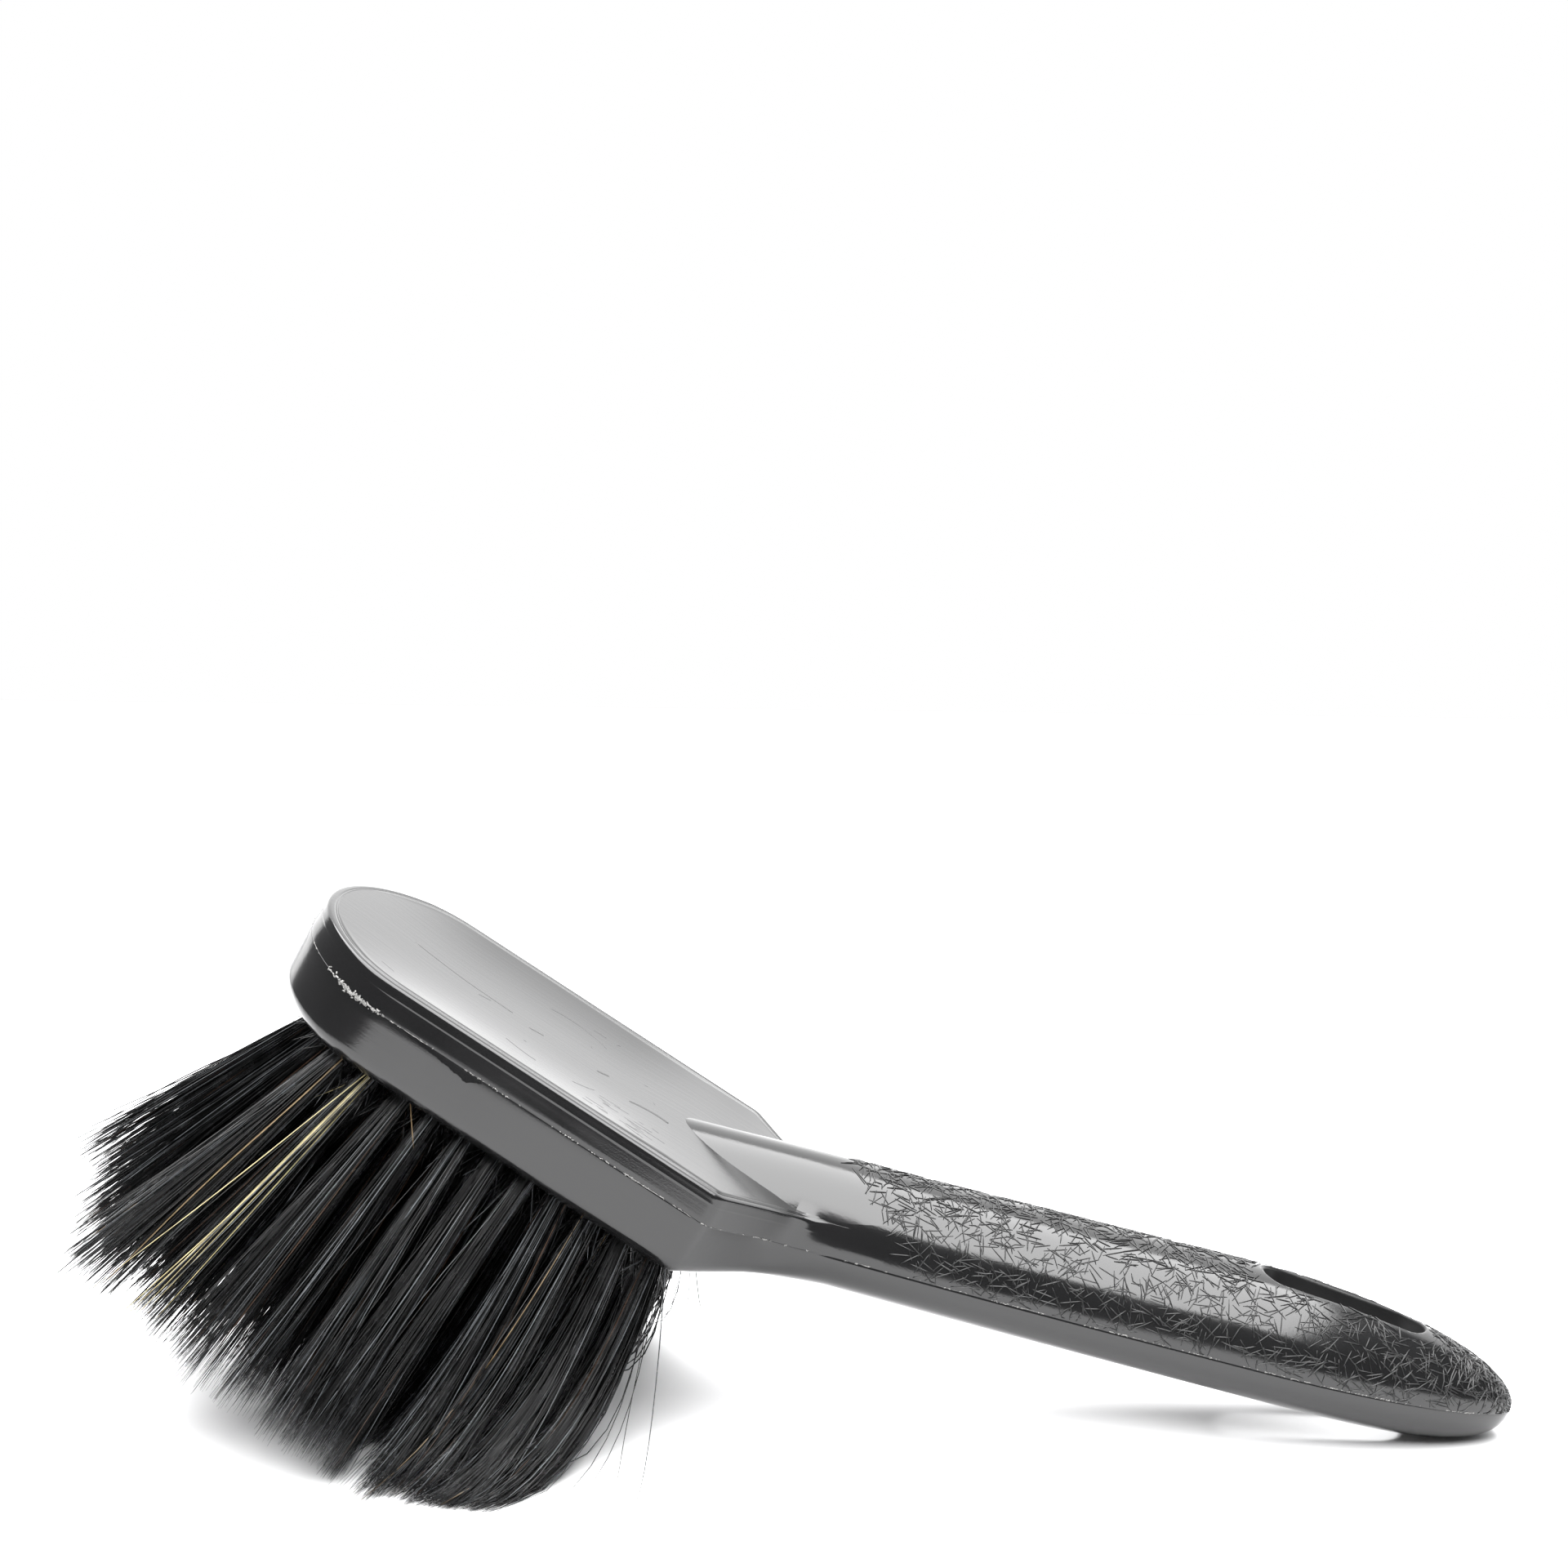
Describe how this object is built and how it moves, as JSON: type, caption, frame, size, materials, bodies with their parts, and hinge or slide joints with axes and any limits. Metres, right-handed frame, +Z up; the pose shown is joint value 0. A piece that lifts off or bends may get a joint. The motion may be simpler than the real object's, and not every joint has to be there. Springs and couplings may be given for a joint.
{
  "type": "wheel brush",
  "caption": "Short-handled wheel washing brush: a moulded block with a textured grip, a hang slot and rows of splayed bristle tufts held by flat anchors.",
  "frame": {"origin": "on the floor under the middle of the box of the brush at rest on its bristle tips and the end of its handle", "axes": "+X from the bristles to the end of the handle, +Y across the brush, +Z up"},
  "size_m": [0.2964, 0.111, 0.1058],
  "materials": {
    "moulding": "moulded black polypropylene, satin gloss",
    "bristle": "flagged black bristle with a soft sheen",
    "anchor_wire": "cut flat steel wire"
  },
  "bodies": {
    "root": {"block_and_handle": "moulding", "staple_anchors": "anchor_wire", "tuft_right_outer_01": "bristle", "tuft_right_outer_02": "bristle", "tuft_right_outer_03": "bristle", "tuft_right_outer_04": "bristle", "tuft_right_outer_05": "bristle", "tuft_right_outer_06": "bristle", "tuft_right_outer_07": "bristle", "tuft_right_outer_08": "bristle", "tuft_right_outer_09": "bristle", "tuft_right_outer_10": "bristle", "tuft_right_outer_11": "bristle", "tuft_right_inner_01": "bristle", "tuft_right_inner_02": "bristle", "tuft_right_inner_03": "bristle", "tuft_right_inner_04": "bristle", "tuft_right_inner_05": "bristle", "tuft_right_inner_06": "bristle", "tuft_right_inner_07": "bristle", "tuft_right_inner_08": "bristle", "tuft_right_inner_09": "bristle", "tuft_right_inner_10": "bristle", "tuft_right_inner_11": "bristle", "tuft_centre_01": "bristle", "tuft_centre_02": "bristle", "tuft_centre_03": "bristle", "tuft_centre_04": "bristle", "tuft_centre_05": "bristle", "tuft_centre_06": "bristle", "tuft_centre_07": "bristle", "tuft_centre_08": "bristle", "tuft_centre_09": "bristle", "tuft_centre_10": "bristle", "tuft_centre_11": "bristle", "tuft_centre_12": "bristle", "tuft_left_inner_01": "bristle", "tuft_left_inner_02": "bristle", "tuft_left_inner_03": "bristle", "tuft_left_inner_04": "bristle", "tuft_left_inner_05": "bristle", "tuft_left_inner_06": "bristle", "tuft_left_inner_07": "bristle", "tuft_left_inner_08": "bristle", "tuft_left_inner_09": "bristle", "tuft_left_inner_10": "bristle", "tuft_left_inner_11": "bristle", "tuft_left_outer_01": "bristle", "tuft_left_outer_02": "bristle", "tuft_left_outer_03": "bristle", "tuft_left_outer_04": "bristle", "tuft_left_outer_05": "bristle", "tuft_left_outer_06": "bristle", "tuft_left_outer_07": "bristle", "tuft_left_outer_08": "bristle", "tuft_left_outer_09": "bristle", "tuft_left_outer_10": "bristle", "tuft_left_outer_11": "bristle"}
  },
  "joints": []
}
